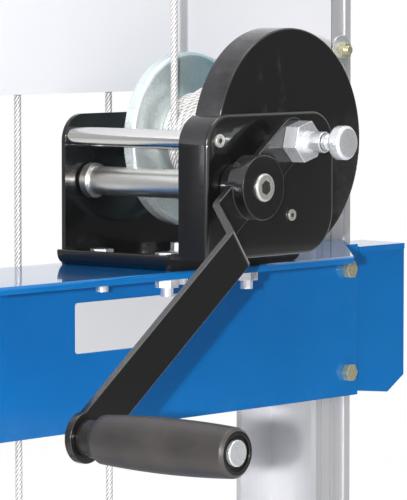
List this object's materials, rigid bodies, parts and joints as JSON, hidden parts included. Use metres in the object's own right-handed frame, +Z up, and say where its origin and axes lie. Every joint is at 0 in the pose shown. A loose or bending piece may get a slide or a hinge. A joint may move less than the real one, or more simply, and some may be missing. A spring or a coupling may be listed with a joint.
{
  "type": "hand lift truck",
  "caption": "Hand winch lift truck: wheeled straddle base, aluminium mast, cable-lifted fork carriage and a geared crank winch on a folded cross beam.",
  "frame": {"origin": "on the floor under the middle of the truck", "axes": "+X to the operator's right, +Y towards the load, +Z up"},
  "size_m": [0.679, 1.06, 1.8072],
  "materials": {
    "blue_paint": "gloss powder coat",
    "black_paint": "gloss powder coat",
    "aluminium": "satin extruded",
    "white_sheet": "satin white sheet",
    "zinc": "bright zinc plate",
    "steel": "turned steel",
    "chrome": "polished",
    "yellow_zinc": "yellow passivated zinc",
    "bronze": "plain bronze",
    "wire_rope": "galvanised strands",
    "grip_plastic": "moulded, slightly mottled",
    "grip_rubber": "moulded rubber",
    "nylon": "natural nylon",
    "wheel": "solid rubber-tyred wheel"
  },
  "bodies": {
    "truck": {"leg_left": "blue_paint", "leg_right": "blue_paint", "base_crossbar": "blue_paint", "mast_feet": "blue_paint", "mast_brace_left": "blue_paint", "mast_brace_right": "blue_paint", "winch_beam": "blue_paint", "beam_bracket_left": "blue_paint", "beam_bracket_right": "blue_paint", "head_beam": "blue_paint", "sheave_bracket": "blue_paint", "push_handle": "blue_paint", "winch_frame": "black_paint", "gear_cover": "black_paint", "mast_rail_left": "aluminium", "mast_rail_right": "aluminium", "guard_panel": "white_sheet", "winch_bolts": "zinc", "winch_nuts": "zinc", "drum_axle": "zinc", "tie_rod_screws": "zinc", "cover_rivet": "zinc", "panel_screws": "zinc", "front_axles": "zinc", "head_axle": "zinc", "cable_anchor": "zinc", "caster_plates": "zinc", "tie_rod": "chrome", "frame_bolts": "yellow_zinc", "slot_nuts": "yellow_zinc", "shaft_bushes": "bronze", "cable_front_run": "wire_rope", "cable_runs": "wire_rope", "handle_grips": "grip_rubber"},
    "drum": {"cable_drum": "zinc", "drum_gear": "zinc", "cable_winding": "wire_rope"},
    "crank": {"crank_shaft": "steel", "crank_arm": "black_paint", "hub_screw": "zinc", "plunger_body": "zinc", "grip_pin": "zinc"},
    "plunger": {"plunger_pin": "zinc"},
    "grip": {"crank_grip": "grip_plastic"},
    "head_pulley": {"head_sheave": "zinc"},
    "carriage": {"carriage_frame": "blue_paint", "slide_blocks": "nylon", "carriage_axle": "zinc", "fork_left": "black_paint", "fork_right": "black_paint", "fork_bolts": "zinc", "cable_loop": "wire_rope"},
    "carriage_pulley": {"carriage_sheave": "zinc"},
    "caster_left": {"caster_fork_left": "zinc"},
    "caster_right": {"caster_fork_right": "zinc"},
    "caster_roller_left": {"caster_wheel_left": "wheel"},
    "caster_roller_right": {"caster_wheel_right": "wheel"},
    "front_roller_left": {"front_wheel_left": "wheel"},
    "front_roller_right": {"front_wheel_right": "wheel"}
  },
  "joints": [
    {"name": "crank_turn", "type": "hinge", "parent": "truck", "child": "crank", "pos_m": [-0.01088, -0.356, 0.95021], "axis": [0, 1, 0], "range_deg": [0, 18458.36]},
    {"name": "drum_turn", "type": "hinge", "parent": "truck", "child": "drum", "pos_m": [0.049, -0.356, 0.9755], "axis": [0, 1, 0], "range_deg": [-3763.8, 0]},
    {"name": "carriage_lift", "type": "slide", "parent": "truck", "child": "carriage", "axis": [0, 0, 1], "range_m": [0, 1.05105], "deforming": ["cable_runs"]},
    {"name": "head_pulley_turn", "type": "hinge", "parent": "truck", "child": "head_pulley", "pos_m": [0.03005, -0.2454, 1.7586], "axis": [-0.9471, 0.3209, 0], "range_deg": [-2895.21, 0]},
    {"name": "carriage_pulley_turn", "type": "hinge", "parent": "carriage", "child": "carriage_pulley", "pos_m": [0, -0.206, 0.4844], "axis": [0, 1, 0], "range_deg": [-1387.57, 0]},
    {"name": "plunger_pull", "type": "slide", "parent": "crank", "child": "plunger", "axis": [0, -1, 0], "range_m": [-0.008, 0]},
    {"name": "grip_spin", "type": "hinge", "parent": "crank", "child": "grip", "pos_m": [-0.1951, -0.456, 0.81587], "axis": [0, 1, 0], "continuous": true},
    {"name": "caster_swivel_left", "type": "hinge", "parent": "truck", "child": "caster_left", "pos_m": [-0.26275, -0.45, 0.09], "axis": [0, 0, 1], "continuous": true},
    {"name": "caster_roll_left", "type": "hinge", "parent": "caster_left", "child": "caster_roller_left", "pos_m": [-0.26275, -0.478, 0.0375], "axis": [1, 0, 0], "continuous": true},
    {"name": "front_roll_left", "type": "hinge", "parent": "truck", "child": "front_roller_left", "pos_m": [-0.26275, 0.475, 0.055], "axis": [1, 0, 0], "continuous": true},
    {"name": "caster_swivel_right", "type": "hinge", "parent": "truck", "child": "caster_right", "pos_m": [0.26275, -0.45, 0.09], "axis": [0, 0, 1], "continuous": true},
    {"name": "caster_roll_right", "type": "hinge", "parent": "caster_right", "child": "caster_roller_right", "pos_m": [0.26275, -0.478, 0.0375], "axis": [1, 0, 0], "continuous": true},
    {"name": "front_roll_right", "type": "hinge", "parent": "truck", "child": "front_roller_right", "pos_m": [0.26275, 0.475, 0.055], "axis": [1, 0, 0], "continuous": true}
  ],
  "couplings": [
    {"joint": "drum_turn", "follows": "crank_turn", "ratio": -0.2037},
    {"joint": "carriage_lift", "follows": "crank_turn", "m_per_rad": 0.0032593},
    {"joint": "head_pulley_turn", "follows": "crank_turn", "ratio": -0.15669},
    {"joint": "carriage_pulley_turn", "follows": "crank_turn", "ratio": -0.075098}
  ]
}
